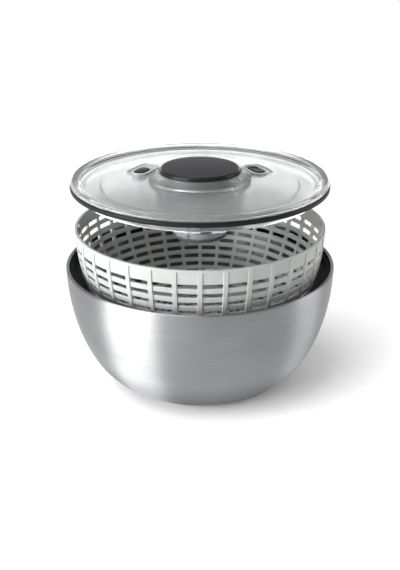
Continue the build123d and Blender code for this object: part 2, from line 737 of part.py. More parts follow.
def knob_plunger():
    """Tube that slides in the housing, with the flange that the knob is fixed to."""
    top = KNOB_TOP - KNOB_WALL - GRIP_THICKNESS
    bore = PLUNGER_RADIUS - PLUNGER_WALL
    return turned(
        (bore, PLUNGER_LOW),
        (PLUNGER_RADIUS, PLUNGER_LOW),
        (PLUNGER_RADIUS, top - PLUNGER_WALL / 2),
        (PLUNGER_FLANGE_RADIUS, top - PLUNGER_WALL / 2),
        (PLUNGER_FLANGE_RADIUS, top),
        (bore, top),
    )


def twisted_bar(width, thickness, low, high):
    """Flat bar twisted about Z, lying along X at BAR_LOW and turning once in each lead."""
    start = 360 * (low - BAR_LOW) / LEAD
    section = Pos(0, 0, low) * Rot(0, 0, start) * SlotOverall(width, thickness)
    return Part(Solid.extrude_linear_with_rotation(
        section.faces()[0], (0, 0, low), (0, 0, high - low), 360 * (high - low) / LEAD).wrapped)


def drive_nut():
    """Nut in the plunger's end, with a slot twisted like the bar."""
    top = PLUNGER_LOW + NUT_HEIGHT
    body = tube(0, PLUNGER_RADIUS - PLUNGER_WALL, PLUNGER_LOW, top)
    gap = 2 * NUT_GAP
    return body - twisted_bar(BAR_WIDTH + gap, BAR_THICKNESS + gap, PLUNGER_LOW - PAST, top + PAST)


def drive_shaft():
    """Twisted bar with a collar, a journal and an end for the pawls."""
    collar_low = DRUM_LOW + DRUM_WALL + END_GAP
    journal = turned(
        (0, PAWL_LOW),
        (SHAFT_END_RADIUS, PAWL_LOW),
        (SHAFT_END_RADIUS, JOURNAL_LOW),
        (JOURNAL_RADIUS, JOURNAL_LOW),
        (JOURNAL_RADIUS, collar_low),
        (JOURNAL_RADIUS + SHAFT_COLLAR, collar_low),
        (JOURNAL_RADIUS + SHAFT_COLLAR, BAR_LOW),
        (0, BAR_LOW),
    )
    return journal + twisted_bar(BAR_WIDTH, BAR_THICKNESS, BAR_LOW, BAR_TOP)


def return_spring():
    """Coil under the knob, pressed short while the knob is locked down."""
    top = KNOB_TOP - KNOB_WALL - GRIP_THICKNESS - PLUNGER_WALL / 2
    gap = SPRING_END_GAP
    return coil(SPRING_RADIUS, SPRING_WIRE / 2, SPRING_TURNS, DECK_TOP + gap, top - gap)


# Brake

def brake_button():
    """Oval button with its stem."""
    cap = oval(BRAKE_LENGTH, BRAKE_WIDTH, BRAKE_CAP_LOW, BRAKE_TOP)
    cap = fillet(cap.edges().group_by(Axis.Z)[-1], BRAKE_EDGE)
    return on_cover(BRAKE_ANGLE, cap + tube(0, STEM_RADIUS, SHOE_TOP, BRAKE_CAP_LOW))


def brake_shoe():
    """Rubber pad on the stem's end, which rubs the turntable when the button is pressed."""
    return on_cover(BRAKE_ANGLE, oval(SHOE_LENGTH, SHOE_WIDTH, SHOE_TOP - SHOE_THICKNESS, SHOE_TOP))


def brake_spring():
    """Coil under the button."""
    low = BRAKE_FLOOR_TOP + SPRING_END_GAP
    high = BRAKE_CAP_LOW - SPRING_END_GAP
    spring = coil(BRAKE_SPRING_RADIUS, BRAKE_SPRING_WIRE / 2, BRAKE_SPRING_TURNS, low, high)
    return on_cover(BRAKE_ANGLE, spring)


# Knob lock

def lock_slider():
    """Oval slider with three thumb grooves and a neck through the well's slot."""
    pad = oval(LOCK_LENGTH, LOCK_WIDTH, LOCK_FLOOR_TOP + END_GAP, LOCK_TOP)
    pad = fillet(pad.edges().group_by(Axis.Z)[-1], LOCK_EDGE)
    for place in (-1, 0, 1):
        pad -= Pos(GROOVE_PITCH * place, 0, LOCK_TOP) * Box(GROOVE_WIDTH, GROOVE_LENGTH, 2 * GROOVE_DEPTH)
    neck = oval(LOCK_NECK_LENGTH, LOCK_NECK_WIDTH, LATCH_TOP, LOCK_FLOOR_TOP + END_GAP)
    return on_cover(LOCK_ANGLE, Pos(-LOCK_TRAVEL / 2, 0, 0) * (pad + neck))


def lock_latch():
    """Plate under the cover with the tongue that reaches the housing."""
    low = LATCH_TOP - LATCH_THICKNESS
    plate = oval(LATCH_LENGTH, LATCH_WIDTH, low, LATCH_TOP)
    reach = CONTROL_CIRCLE - LATCH_TONGUE_END
    tongue = Pos(0, reach / 2, (low + LATCH_TOP) / 2) * Box(LOCK_NECK_LENGTH, reach, LATCH_THICKNESS)
    return on_cover(LOCK_ANGLE, Pos(-LOCK_TRAVEL / 2, 0, 0) * (plate + tongue))


BOWL_NODES = [bowl, base_ring, rim_seat, pivot_post, pivot_tip]
BASKET_NODES = [basket, basket_bearing, bearing_clip]
LID_NODES = [
    lid_cover, lid_gasket, mechanism_housing, housing_screws, brake_bezel, lock_bezel, turntable_clip,
    turntable, ratchet_ring, ratchet_cover, ratchet_screws, pawl_carrier, drive_shaft,
    knob_cap, knob_grip, knob_plunger, drive_nut, return_spring,
    brake_button, brake_shoe, brake_spring, lock_slider, lock_latch,
]


def write_nodes(makers, height):
    """Write one file per node, raised to its body's height."""
    for make in makers:
        export_step(Pos(0, 0, height) * make(), f"parts/{make.__name__}.step")


os.makedirs("parts", exist_ok=True)
write_nodes(BOWL_NODES, 0)
write_nodes(BASKET_NODES, BASKET_REST)
write_nodes(LID_NODES, LID_REST)
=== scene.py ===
import bmesh
import bpy
import json
import math
from mathutils import Matrix, Vector

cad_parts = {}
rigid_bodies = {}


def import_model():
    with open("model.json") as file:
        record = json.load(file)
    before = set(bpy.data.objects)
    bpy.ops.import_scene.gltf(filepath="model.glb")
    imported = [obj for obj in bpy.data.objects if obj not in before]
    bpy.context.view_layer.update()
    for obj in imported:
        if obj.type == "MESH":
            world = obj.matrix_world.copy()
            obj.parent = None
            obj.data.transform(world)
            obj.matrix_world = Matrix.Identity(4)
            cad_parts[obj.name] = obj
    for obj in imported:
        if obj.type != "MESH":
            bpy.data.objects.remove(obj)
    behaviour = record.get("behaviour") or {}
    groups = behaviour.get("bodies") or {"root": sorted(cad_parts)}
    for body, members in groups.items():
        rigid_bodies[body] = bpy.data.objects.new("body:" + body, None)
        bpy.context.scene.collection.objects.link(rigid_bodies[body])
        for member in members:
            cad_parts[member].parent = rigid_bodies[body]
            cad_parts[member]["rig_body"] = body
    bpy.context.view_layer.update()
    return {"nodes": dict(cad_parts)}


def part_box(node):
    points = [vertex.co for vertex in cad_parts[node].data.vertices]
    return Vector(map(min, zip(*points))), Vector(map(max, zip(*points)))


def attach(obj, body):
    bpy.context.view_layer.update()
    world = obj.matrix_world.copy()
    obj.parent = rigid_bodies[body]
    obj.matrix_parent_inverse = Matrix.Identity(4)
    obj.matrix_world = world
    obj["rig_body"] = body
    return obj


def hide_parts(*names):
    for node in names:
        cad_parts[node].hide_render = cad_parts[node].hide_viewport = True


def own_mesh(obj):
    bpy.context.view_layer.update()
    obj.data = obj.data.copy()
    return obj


# Salad spinner: a brushed steel bowl, a slotted basket lifted partly out of it, and a clear lid with a
# pump knob floating above. Most visible pieces are finer meshes in the places of their CAD nodes, and
# the other CAD nodes keep their shapes and get a material. Everything is in metres, +Z up.

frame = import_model()
NODES = frame["nodes"]
MM = 0.001
TURN = 2 * math.pi


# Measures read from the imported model

def radius_of(node):
    """Largest radius about Z of a round node."""
    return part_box(node)[1].x


def low_of(node):
    """Height of a node's lowest point."""
    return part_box(node)[0].z


def high_of(node):
    """Height of a node's highest point."""
    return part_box(node)[1].z


def middle_of(node):
    """Middle of a node's box."""
    low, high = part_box(node)
    return (low + high) / 2


BOWL_R = radius_of("bowl")
BOWL_TOP = high_of("bowl")
FOOT_Z = low_of("bowl")
FOOT_R = radius_of("base_ring") + 2 * MM
BASKET_TOP = high_of("basket")
LIP_R = radius_of("basket")
LID_Z = low_of("lid_gasket")
GASKET_R = radius_of("lid_gasket")
COVER_TOP = high_of("lid_cover")
KNOB_R = radius_of("knob_cap")
KNOB_LOW = low_of("knob_cap")
KNOB_TOP = high_of("knob_cap")


# Mesh helpers

def arc(centre, radius, start, end, steps=6):
    """Points on a circle in the (radius, height) plane, angles in degrees."""
    points = []
    for step in range(steps + 1):
        angle = math.radians(start + (end - start) * step / steps)
        points.append((centre[0] + radius * math.cos(angle), centre[1] + radius * math.sin(angle)))
    return points


def softened(outline, radius, steps=3, closed=True):
    """Outline with each corner replaced by a small curve that starts a radius away from it."""
    points = []
    count = len(outline)
    for index, corner in enumerate(outline):
        if not closed and index in (0, count - 1):
            points.append(corner)
            continue
        here = Vector(corner)
        before = Vector(outline[index - 1]) - here
        after = Vector(outline[(index + 1) % count]) - here
        reach = min(radius, before.length * 0.45, after.length * 0.45)
        start = here + before.normalized() * reach
        end = here + after.normalized() * reach
        for step in range(steps + 1):
            t = step / steps
            point = start * (1 - t) ** 2 + here * 2 * t * (1 - t) + end * t ** 2
            points.append((point.x, point.y))
    return points


def new_object(name, build, sharp=40):
    """Mesh object from a function that fills a bmesh; smooth except over edges sharper than an angle."""
    mesh = bpy.data.meshes.new(name)
    work = bmesh.new()
    build(work)
    bmesh.ops.remove_doubles(work, verts=work.verts, dist=1e-6)
    bmesh.ops.recalc_face_normals(work, faces=work.faces)
    work.to_mesh(mesh)
    work.free()
    mesh.polygons.foreach_set("use_smooth", [True] * len(mesh.polygons))
    mesh.set_sharp_from_angle(angle=math.radians(sharp))
    piece = bpy.data.objects.new(name, mesh)
    bpy.context.scene.collection.objects.link(piece)
    return piece


def spin_profile(work, outline, segments=240, closed=True):
    """Add a turned surface to a bmesh; points on the axis become single vertices."""
    rings = []
    for radius, height in outline:
        if radius < 1e-6:
            rings.append([work.verts.new((0, 0, height))])
            continue
        ring = []
        for step in range(segments):
            angle = TURN * step / segments
            ring.append(work.verts.new((radius * math.cos(angle), radius * math.sin(angle), height)))
        rings.append(ring)
    pairs = list(zip(rings, rings[1:]))
    if closed:
        pairs.append((rings[-1], rings[0]))
    faces = []
    for low, high in pairs:
        for step in range(segments):
            after = (step + 1) % segments
            corners = [
                low[step % len(low)], low[after % len(low)],
                high[after % len(high)], high[step % len(high)],
            ]
            corners = list(dict.fromkeys(corners))
            if len(corners) > 2:
                faces.append(work.faces.new(corners))
    return faces


def lathe(name, outline, segments=240, closed=True, sharp=40):
    """Turned object from an outline in the (radius, height) plane."""
    return new_object(name, lambda work: spin_profile(work, outline, segments, closed), sharp)


def ring_sector(work, inner, outer, low, high, start, angle, steps=4):
    """Add a block that follows a circle about Z, angles in degrees."""
    ends = []
    for step in range(steps + 1):
        turn = math.radians(start + angle * step / steps)
        section = ((inner, low), (outer, low), (outer, high), (inner, high))
        ends.append([work.verts.new((r * math.cos(turn), r * math.sin(turn), z)) for r, z in section])
    for near, far in zip(ends, ends[1:]):
        for side in range(4):
            after = (side + 1) % 4
            work.faces.new((near[side], near[after], far[after], far[side]))
    work.faces.new(ends[0])
    work.faces.new(list(reversed(ends[-1])))


def apply_modifier(piece, kind, **settings):
    """Add a modifier, and keep its result as the mesh."""
    modifier = piece.modifiers.new(kind.title(), kind)
    for key, value in settings.items():
        setattr(modifier, key, value)
    bpy.context.view_layer.update()
    result = piece.evaluated_get(bpy.context.evaluated_depsgraph_get())
    mesh = bpy.data.meshes.new_from_object(result)
    piece.modifiers.clear()
    old = piece.data
    piece.data = mesh
    bpy.data.meshes.remove(old)
    mesh.name = piece.name


def cut(piece, cutter):
    """Take a cutter's shape out of a piece, and delete the cutter."""
    apply_modifier(piece, "BOOLEAN", object=cutter, operation="DIFFERENCE", solver="EXACT")
    bpy.data.objects.remove(cutter)


def oval_loop(length, width, inset, height, steps=14):
    """Closed loop of points round a half-round-ended slot, long side along X."""
    radius = width / 2 - inset
    straight = (length - width) / 2
    loop = []
    for end in (1, -1):
        for step in range(steps + 1):
            angle = math.radians(-90 + 180 * step / steps) + (0 if end > 0 else math.pi)
            loop.append((end * straight + radius * math.cos(angle), radius * math.sin(angle), height))
    return loop


def oval_loft(name, length, width, levels, sharp=40):
    """Solid through oval loops, given as (inset, height) from the underside to the top."""
    def build(work):
        rings = []
        for inset, height in levels:
            rings.append([work.verts.new(point) for point in oval_loop(length, width, inset, height)])
        count = len(rings[0])
        for low, high in zip(rings, rings[1:]):
            for step in range(count):
                after = (step + 1) % count
                work.faces.new((low[step], low[after], high[after], high[step]))
        work.faces.new(list(reversed(rings[0])))
        work.faces.new(rings[-1])
    return new_object(name, build, sharp)


def coil(name, radius, wire, turns, low, high, steps=60, sides=10):
    """Coil about Z between two heights; wire is the radius of its wire."""
    def build(work):
        rings = []
        count = round(turns * steps)
        for step in range(count + 1):
            angle = TURN * step / steps
            outward = Vector((math.cos(angle), math.sin(angle), 0))
            height = low + wire + (high - low - 2 * wire) * step / count
            centre = outward * radius + Vector((0, 0, height))
            ring = []
            for side in range(sides):
                turn = TURN * side / sides
                offset = outward * math.cos(turn) + Vector((0, 0, math.sin(turn)))
                ring.append(work.verts.new(centre + offset * wire))
            rings.append(ring)
        for near, far in zip(rings, rings[1:]):
            for side in range(sides):
                after = (side + 1) % sides
                work.faces.new((near[side], near[after], far[after], far[side]))
        work.faces.new(rings[0])
        work.faces.new(list(reversed(rings[-1])))
    return new_object(name, build)


def place_control(piece, node):
    """Move a control drawn about the origin to its CAD node, long side along the cover's circle."""
    middle = middle_of(node)
    angle = math.atan2(middle.y, middle.x) + math.pi / 2
    piece.data.transform(Matrix.Translation((middle.x, middle.y, 0)) @ Matrix.Rotation(angle, 4, "Z"))


# Material helpers

class Look:
    """A node material with its Principled shader at hand."""

    def __init__(self, name, colour, roughness, **sockets):
        self.material = bpy.data.materials.new(name)
        self.material.use_nodes = True
        self.tree = self.material.node_tree
        self.shader = self.tree.nodes["Principled BSDF"]
        self.set("Base Color", (*colour, 1.0))
        self.set("Roughness", roughness)
        for key, value in sockets.items():
            self.set(key.replace("_", " "), value)
        self.bumps = None

    def input(self, socket):
        """The shader's socket of that name, in any case."""
        names = {entry.name.lower(): entry for entry in self.shader.inputs}
        return names[socket.lower()]

    def set(self, socket, value):
        self.input(socket).default_value = value

    def node(self, kind, **settings):
        node = self.tree.nodes.new(kind)
        for key, value in settings.items():
            setattr(node, key, value)
        return node

    def link(self, source, target):
        self.tree.links.new(source, target)

    def place(self, stretch=(1, 1, 1)):
        """Object coordinates, stretched."""
        coordinates = self.node("ShaderNodeTexCoord")
        mapping = self.node("ShaderNodeMapping")
        mapping.inputs["Scale"].default_value = stretch
        self.link(coordinates.outputs["Object"], mapping.inputs["Vector"])
        return mapping.outputs["Vector"]

    def noise(self, scale, detail=3.0, stretch=(1, 1, 1), roughness=0.5):
        """Cloudy texture in object coordinates."""
        texture = self.node("ShaderNodeTexNoise")
        texture.inputs["Scale"].default_value = scale
        texture.inputs["Detail"].default_value = detail
        texture.inputs["Roughness"].default_value = roughness
        self.link(self.place(stretch), texture.inputs["Vector"])
        return texture.outputs["Fac"]

    def spread(self, source, low, high, start=0.3, end=0.7):
        """A texture's value stretched to lie between two numbers."""
        fit = self.node("ShaderNodeMapRange")
        fit.inputs["From Min"].default_value = start
        fit.inputs["From Max"].default_value = end
        fit.inputs["To Min"].default_value = low
        fit.inputs["To Max"].default_value = high
        self.link(source, fit.inputs["Value"])
        return fit.outputs["Result"]

    def tint(self, source, dark, light, start=0.3, end=0.7):
        """Colour between two tints, by a texture."""
        ramp = self.node("ShaderNodeValToRGB")
        ramp.color_ramp.elements[0].position = start
        ramp.color_ramp.elements[0].color = (*dark, 1.0)
        ramp.color_ramp.elements[1].position = end
        ramp.color_ramp.elements[1].color = (*light, 1.0)
        self.link(source, ramp.inputs["Fac"])
        return ramp.outputs["Color"]

    def height_tint(self, low_tint, high_tint, low, high):
        """Colour that changes between two heights."""
        split = self.node("ShaderNodeSeparateXYZ")
        self.link(self.place(), split.inputs["Vector"])
        share = self.spread(split.outputs["Z"], 0.0, 1.0, low, high)
        return self.tint(share, low_tint, high_tint, 0.0, 1.0)

    def multiply(self, first, second):
        """Product of two colours."""
        mix = self.node("ShaderNodeMixRGB", blend_type="MULTIPLY")
        mix.inputs["Fac"].default_value = 1.0
        self.link(first, mix.inputs["Color1"])
        self.link(second, mix.inputs["Color2"])
        return mix.outputs["Color"]

    def bump(self, source, strength, distance):
        """Bump from a texture, on top of the bumps that the material has already."""
        node = self.node("ShaderNodeBump")
        node.inputs["Strength"].default_value = strength
        node.inputs["Distance"].default_value = distance
        self.link(source, node.inputs["Height"])
        if self.bumps is not None:
            self.link(self.bumps, node.inputs["Normal"])
        self.bumps = node.outputs["Normal"]
        self.link(self.bumps, self.input("Normal"))


def brushed_steel():
    """Steel brushed round its axis, with painted shade that darkens it towards its foot and faint dark
    blotches of painted reflection.
    """
    look = Look("brushed_steel", (0.30, 0.302, 0.306), 0.46, metallic=1.0, anisotropic=0.97,
                anisotropic_rotation=0.25)
    tangent = look.node("ShaderNodeTangent", direction_type="RADIAL", axis="Z")
    look.link(tangent.outputs["Tangent"], look.input("Tangent"))
    fine = look.noise(1.0, 3.0, stretch=(10, 10, 2400), roughness=0.7)
    streaks = look.noise(1.0, 5.0, stretch=(16, 16, 520), roughness=0.65)
    # Painted reflection: large soft blotches darken the colour a little, standing in for dark surroundings
    # reflected in the steel.
    reflection_blotches = look.noise(11, 2.0, stretch=(1, 1, 1.6))
    look.link(look.spread(streaks, 0.40, 0.52), look.input("Roughness"))
    brushed = look.tint(streaks, (0.265, 0.267, 0.272), (0.335, 0.338, 0.343), 0.25, 0.75)
    painted_reflection_tint = look.tint(reflection_blotches, (0.90, 0.90, 0.90), (1.0, 1.0, 1.0), 0.35, 0.6)
    # Painted shade: the colour darkens towards the foot, where the bowl reflects the shaded floor beside
    # it.
    foot = look.height_tint((0.45, 0.45, 0.45), (1.0, 1.0, 1.0), 0.002, 0.045)
    colour = look.multiply(look.multiply(brushed, painted_reflection_tint), foot)
    look.link(colour, look.input("Base Color"))
    look.bump(fine, 0.10, 0.00004)
    look.bump(streaks, 0.12, 0.00008)
    return look.material


def painted_shade_inside():
    """Painted shade: the inside of the bowl is coloured almost black, standing in for the shade inside it.
    """
    look = Look("painted_shade_inside", (0.002, 0.002, 0.0022), 0.6, specular_ior_level=0.04)
    rings = look.noise(1.0, 3.0, stretch=(8, 8, 1200))
    look.link(look.spread(rings, 0.52, 0.68), look.input("Roughness"))
    look.bump(rings, 0.05, 0.00005)
    return look.material


def moulded(name, colour, roughness, grain=900, depth=0.00002, **sockets):
    """Moulded plastic or rubber: faint cloudiness in its colour and a fine grain."""
    look = Look(name, colour, roughness, **sockets)
    cloud = look.noise(22, 3.0)
    dark = tuple(channel * 0.93 for channel in colour)
    light = tuple(min(1.0, channel * 1.05) for channel in colour)
    look.link(look.tint(cloud, dark, light), look.input("Base Color"))
    skin = look.noise(grain, 2.0)
    look.link(look.spread(skin, roughness * 0.88, roughness * 1.12), look.input("Roughness"))
    look.bump(skin, 0.15, depth)
    return look.material


def turned_metal(name, colour, roughness):
    """Plain drawn or turned metal for screws, springs and the shaft."""
    look = Look(name, colour, roughness, metallic=1.0)
    lines = look.noise(1.0, 2.0, stretch=(300, 300, 3000))
    look.link(look.spread(lines, roughness * 0.8, roughness * 1.3), look.input("Roughness"))
    look.bump(lines, 0.1, 0.00002)
    return look.material


STEEL = brushed_steel()
PAINTED_SHADE_INSIDE = painted_shade_inside()
SEAT = moulded("seat_black", (0.0025, 0.0025, 0.003), 0.55, specular_ior_level=0.06)
RUBBER = moulded("gasket_rubber", (0.006, 0.006, 0.007), 0.42, grain=700, specular_ior_level=0.12)
FOOT = moulded("foot_rubber", (0.03, 0.03, 0.032), 0.75, grain=500, depth=0.00005)
BASKET = moulded("basket_plastic", (0.43, 0.455, 0.445), 0.42, ior=1.36, transmission_weight=0.28,
                 subsurface_weight=0.3, subsurface_scale=0.003)
RIB = moulded("basket_rib_plastic", (0.59, 0.61, 0.60), 0.42, ior=1.36, transmission_weight=0.15,
              subsurface_weight=0.3, subsurface_scale=0.003)
CLEAR = moulded("clear_plastic", (0.92, 0.93, 0.93), 0.14, grain=300, depth=0.000002, ior=1.25,
                transmission_weight=0.93)
FROST = moulded("frosted_plastic", (0.94, 0.955, 0.955), 0.22, transmission_weight=0.97, ior=1.18)
WELL = moulded("well_plastic", (0.78, 0.80, 0.81), 0.25, transmission_weight=0.45, ior=1.4)
HOUSING = moulded("housing_plastic", (0.09, 0.098, 0.105), 0.38, transmission_weight=0.2, ior=1.46)
CUP = moulded("cup_plastic", (0.075, 0.082, 0.088), 0.30, transmission_weight=0.15, ior=1.3)
KNOB = moulded("knob_plastic", (0.006, 0.006, 0.0075), 0.30, grain=1200, specular_ior_level=0.20)
GRIP = moulded("knob_grip_rubber", (0.011, 0.011, 0.014), 0.45, grain=1500, depth=0.00003,
               specular_ior_level=0.30)
POST = moulded("post_plastic", (0.80, 0.81, 0.80), 0.40)
GREY = moulded("mechanism_plastic", (0.36, 0.37, 0.38), 0.45)
BRIGHT = turned_metal("bright_steel", (0.76, 0.77, 0.78), 0.22)
SHAFT = turned_metal("shaft_steel", (0.62, 0.63, 0.64), 0.30)


def dress(piece, *materials):
    """Give a piece its materials, in the order of its faces' material numbers."""
    piece.data.materials.clear()
    for material in materials:
        piece.data.materials.append(material)


def stand_for(piece, node, material=None):
    """A piece that is shown in a CAD node's place, on its body."""
    if material is not None:
        dress(piece, material)
    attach(piece, NODES[node]["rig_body"])
    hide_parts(node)
    return piece


# Bowl

BOWL_WALL = 1.0 * MM
BOWL_BEAD = 1.6 * MM
BOWL_SEGMENTS = 320


def bowl_curve(thickness, steps=48):
    """Quarter-ellipse wall from the foot up to the rim's height, offset inward by a thickness."""
    reach = BOWL_R - FOOT_R
    drop = BOWL_TOP - FOOT_Z
    points = []
    for step in range(steps + 1):
        turn = math.radians(90 * step / steps)
        radius = FOOT_R + (reach - thickness) * math.sin(turn)
        height = BOWL_TOP - (drop - thickness) * math.cos(turn)
        points.append((radius, height))
    return points


def make_bowl():
    """Brushed shell with a rolled rim; its inside is a second material, coloured almost black as painted
    shade.
    """
    bead_z = BOWL_TOP - BOWL_BEAD
    outside = [point for point in bowl_curve(0) if point[1] < bead_z]
    rim = arc((BOWL_R - BOWL_BEAD, bead_z), BOWL_BEAD, 0, 205, 14)
    inside = [point for point in bowl_curve(BOWL_WALL) if point[1] < bead_z - BOWL_BEAD]
    outline = [(0, FOOT_Z)] + outside + rim + inside[::-1] + [(0, FOOT_Z + BOWL_WALL)]

    def build(work):
        faces = spin_profile(work, outline, BOWL_SEGMENTS, closed=False)
        # The inside's faces take the painted shade, coloured almost black.
        first_inside = (len(outside) + len(rim)) * BOWL_SEGMENTS
        for face in faces[first_inside:]:
            face.material_index = 1
    bowl = new_object("bowl_shell", build, 50)
    dress(bowl, STEEL, PAINTED_SHADE_INSIDE)
    stand_for(bowl, "bowl")


def make_rim_seat():
    """Black ring inside the bowl's mouth, with a ledge that the lid's seal lands on."""
    low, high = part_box("rim_seat")
    skin = high.x
    wall = BOWL_R - 7.0 * MM
    ledge = BOWL_R - 9.8 * MM
    ledge_z = high.z - 3.2 * MM
    outline = [
        (skin - 0.4 * MM, low.z), (skin, high.z), (wall, high.z), (wall, ledge_z),
        (ledge, ledge_z), (ledge, ledge_z - 2.4 * MM), (wall, ledge_z - 4.0 * MM),
    ]
    stand_for(lathe("rim_seat_ring", softened(outline, 0.6 * MM), 300), "rim_seat", SEAT)


# Basket: a wall that curves like an ellipse from its rim down to a flat floor. Slot rows, bars, ribs and
# the lip are cells of one grid, so that the slots are real holes.

WALL = 1.8 * MM
RIB_PROUD = 1.0 * MM
RIBS = 34
RIB_WIDTH = 4.4 * MM
RIB_CELLS = 2
GAP_CELLS = 5
ROWS = 12
ROW_PITCH = 9.2 * MM
ROW_OPENING = 4.2 * MM
BAND = 14.0 * MM
LIP = 2.5 * MM
BAR_CELLS = 3
WALL_R = LIP_R - RIB_PROUD
BASKET_Z = low_of("basket") + RIB_PROUD
BASKET_H = BASKET_TOP - BASKET_Z
FLOOR = 2.0 * MM
FLOOR_R = WALL_R - 56.5 * MM
FLOOR_RIBS = 17
FLOOR_RIB_ANGLE = math.radians(5)
FLOOR_GAP_CELLS = 10
FLOOR_ROW_PITCH = 7.0 * MM
HUB_R = 18.0 * MM
HUB_HEIGHT = 6.0 * MM
# The bearing's neck is 6 mm inside its flange all round, and the hub's bore clears it by 0.1 mm.
HUB_BORE = radius_of("basket_bearing") - 5.9 * MM
EDGE_BEVEL = 0.35 * MM
# The lugs' angle is in degrees, and the turntable's dogs are as wide.
LUGS = 4
LUG_ANGLE = 4.0
LUG_HEIGHT = 4.0 * MM
LUG_REACH = 5.1 * MM


def wall_point(turn, outward, angle):
    """Point of the basket's wall: turn from the rim down, offset outward, angle about Z."""
    radius = FLOOR_R + (WALL_R - FLOOR_R + outward) * math.cos(turn)
    height = BASKET_TOP - (BASKET_H + outward) * math.sin(turn)
    return (radius * math.cos(angle), radius * math.sin(angle), height)


def turn_after(turn, distance, steps=10):
    """Turn reached by going a distance down the wall's curve."""
    for _ in range(steps):
        pace = math.hypot((WALL_R - FLOOR_R) * math.sin(turn), BASKET_H * math.cos(turn))
        turn += distance / steps / pace
    return turn


def divided(start, end, parts):
    """Equal steps from start, without the end."""
    return [start + (end - start) * part / parts for part in range(parts)]


def wall_levels():
    """Turns from the rim down, and for each step whether it is lip, bar or slot row."""
    turns, kinds = [], []

    def add(start, end, parts, kind):
        turns.extend(divided(start, end, parts))
        kinds.extend([kind] * parts)
    lip = turn_after(0, LIP)
    add(0, lip, 1, "lip")
    lower = turn_after(0, BAND)
    add(lip, lower, BAR_CELLS, "bar")
    for _ in range(ROWS - 1):
        upper = turn_after(lower, ROW_OPENING)
        add(lower, upper, 1, "slot")
        lower = turn_after(upper, ROW_PITCH - ROW_OPENING)
        add(upper, lower, 1, "bar")
    upper = turn_after(lower, ROW_OPENING)
    add(lower, upper, 1, "slot")
    add(upper, math.pi / 2, BAR_CELLS, "bar")
    turns.append(math.pi / 2)
    return turns, kinds


def sector_angles(count, width, rib_parts, gap_parts, first=0.0):
    """Angles about Z of the cell edges, and for each cell whether it is part of a rib."""
    pitch = TURN / count
    angles, ribs = [], []
    for index in range(count):
        start = first + index * pitch - width / 2
        angles.extend(divided(start, start + width, rib_parts))
        ribs.extend([True] * rib_parts)
        angles.extend(divided(start + width, start + pitch, gap_parts))
        ribs.extend([False] * gap_parts)
    return angles, ribs


def cell_solid(work, angles, levels, layers, point, solid):
    """Skin of a solid made of cells, closed round Z: a face wherever a full cell meets an empty one.

    A face takes its material number from its layer.
    """
    rows, depth, count = len(levels) - 1, len(layers) - 1, len(angles)
    corners = {}

    def vertex(i, j, k):
        key = (i % count, j, k)
        if key not in corners:
            corners[key] = work.verts.new(point(angles[key[0]], levels[j], layers[k]))
        return corners[key]

    def full(i, j, k):
        return 0 <= j < rows and 0 <= k < depth and solid(i % count, j, k)
    sides = (
        ((1, 0, 0), ((1, 0, 0), (1, 1, 0), (1, 1, 1), (1, 0, 1))),
        ((-1, 0, 0), ((0, 0, 0), (0, 0, 1), (0, 1, 1), (0, 1, 0))),
        ((0, 1, 0), ((0, 1, 0), (0, 1, 1), (1, 1, 1), (1, 1, 0))),
        ((0, -1, 0), ((0, 0, 0), (1, 0, 0), (1, 0, 1), (0, 0, 1))),
        ((0, 0, 1), ((0, 0, 1), (1, 0, 1), (1, 1, 1), (0, 1, 1))),
        ((0, 0, -1), ((0, 0, 0), (0, 1, 0), (1, 1, 0), (1, 0, 0))),
    )
    for i in range(count):
        for j in range(rows):
            for k in range(depth):
                if not full(i, j, k):
                    continue
                for (di, dj, dk), face in sides:
                    if not full(i + di, j + dj, k + dk):
                        skin = work.faces.new([vertex(i + a, j + b, k + c) for a, b, c in face])
                        skin.material_index = k


def basket_wall(work):
    """Slotted wall, with the ribs and the lip standing out from it as a second layer."""
    turns, kinds = wall_levels()
    angles, ribs = sector_angles(RIBS, RIB_WIDTH / WALL_R, RIB_CELLS, GAP_CELLS, first=math.pi / RIBS)

    def solid(i, j, k):
        if k == 0:
            return ribs[i] or kinds[j] != "slot"
        return ribs[i] or kinds[j] == "lip"

    def point(angle, turn, outward):
        return wall_point(turn, outward, angle)
    cell_solid(work, angles, turns, (-WALL, 0.0, RIB_PROUD), point, solid)


def basket_floor(work):
    """Rings and straight ribs of the floor, from inside the hub out into the foot of the wall."""
    edges = [HUB_R - 1.0 * MM]
    rings = []
    inner = HUB_R
    while inner + FLOOR_ROW_PITCH < FLOOR_R:
        edges.extend((inner + ROW_OPENING, inner + FLOOR_ROW_PITCH))
        rings.extend((False, True))
        inner += FLOOR_ROW_PITCH
    edges.append(FLOOR_R + 0.6 * MM)
    rings.append(True)
    angles, ribs = sector_angles(FLOOR_RIBS, FLOOR_RIB_ANGLE, RIB_CELLS, FLOOR_GAP_CELLS)
    heights = (BASKET_Z, BASKET_Z + FLOOR)

    def point(angle, radius, height):
        return (radius * math.cos(angle), radius * math.sin(angle), height)
    cell_solid(work, angles, edges, heights, point, lambda i, j, k: ribs[i] or rings[j])


def basket_lugs(work):
    """Lugs inside the lip, which the turntable's dogs push."""
    inner, outer = LIP_R - LUG_REACH, WALL_R - WALL / 2
    low, high = BASKET_TOP - LUG_HEIGHT, BASKET_TOP - 0.1 * MM
    for lug in range(LUGS):
        start = LUG_ANGLE / 2 + 360 * lug / LUGS
        ring_sector(work, inner, outer, low, high, start, LUG_ANGLE)


